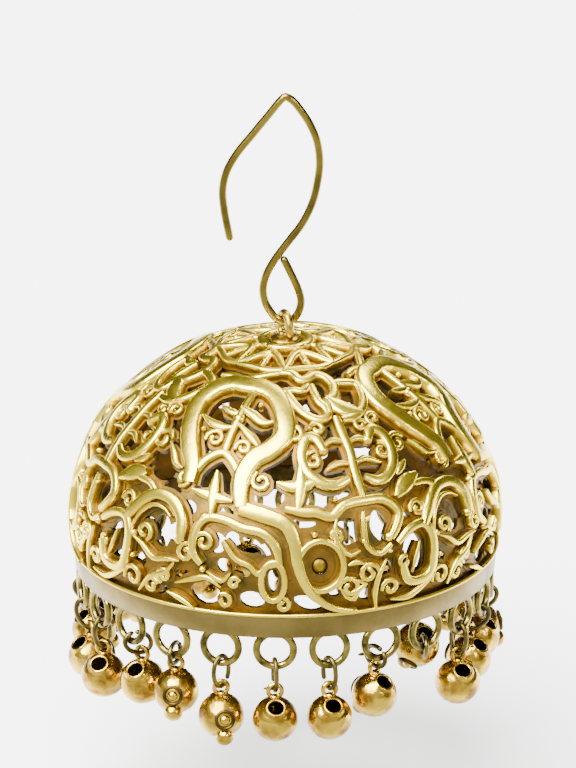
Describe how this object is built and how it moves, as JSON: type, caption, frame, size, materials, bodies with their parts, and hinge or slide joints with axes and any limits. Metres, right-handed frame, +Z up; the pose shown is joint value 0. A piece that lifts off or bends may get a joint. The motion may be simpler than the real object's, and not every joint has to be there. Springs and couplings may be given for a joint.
{
  "type": "jhumka earring",
  "caption": "Bell-shaped jhumka earring: pierced scrollwork dome on an open ear hook, with a fringe of hollow ball beads on jump rings round the rim.",
  "frame": {"origin": "centre of the wire at the top of the ear hook's bow, where the earring hangs from the ear", "axes": "+Z up, with the dome hanging below along -Z; X lies in the plane of the ear hook, whose open end is at -X; -Y is the front"},
  "size_m": [0.036, 0.037, 0.0493],
  "materials": {
    "hook_wire": "drawn wire, olive gold, soft gloss",
    "crown_gold": "polished, amber gold plate",
    "pale_gold": "cast, pale yellow gold plate, tumbled to a satin gloss",
    "ring_wire": "thin wire, darkened brass",
    "bead_gold": "thin sheet balls, orange gold plate, polished"
  },
  "bodies": {
    "hook": {"ear_hook": "hook_wire"},
    "drop": {"crown_ring": "crown_gold", "dome": "pale_gold", "jump_ring_01": "ring_wire", "jump_ring_02": "ring_wire", "jump_ring_03": "ring_wire", "jump_ring_04": "ring_wire", "jump_ring_05": "ring_wire", "jump_ring_06": "ring_wire", "jump_ring_07": "ring_wire", "jump_ring_08": "ring_wire", "jump_ring_09": "ring_wire", "jump_ring_10": "ring_wire", "jump_ring_11": "ring_wire", "jump_ring_12": "ring_wire", "jump_ring_13": "ring_wire", "jump_ring_14": "ring_wire", "jump_ring_15": "ring_wire", "jump_ring_16": "ring_wire", "jump_ring_17": "ring_wire", "jump_ring_18": "ring_wire", "jump_ring_19": "ring_wire", "jump_ring_20": "ring_wire", "jump_ring_21": "ring_wire", "jump_ring_22": "ring_wire", "jump_ring_23": "ring_wire", "jump_ring_24": "ring_wire", "bead_01": "bead_gold", "bead_02": "bead_gold", "bead_03": "bead_gold", "bead_04": "bead_gold", "bead_05": "bead_gold", "bead_06": "bead_gold", "bead_07": "bead_gold", "bead_08": "bead_gold", "bead_09": "bead_gold", "bead_10": "bead_gold", "bead_11": "bead_gold", "bead_12": "bead_gold", "bead_13": "bead_gold", "bead_14": "bead_gold", "bead_15": "bead_gold", "bead_16": "bead_gold", "bead_17": "bead_gold", "bead_18": "bead_gold", "bead_19": "bead_gold", "bead_20": "bead_gold", "bead_21": "bead_gold", "bead_22": "bead_gold", "bead_23": "bead_gold", "bead_24": "bead_gold"}
  },
  "joints": [
    {"name": "drop_swing", "type": "hinge", "parent": "hook", "child": "drop", "pos_m": [0, 0, -0.0192], "axis": [1, 0, 0], "range_deg": [-75, 75]}
  ]
}
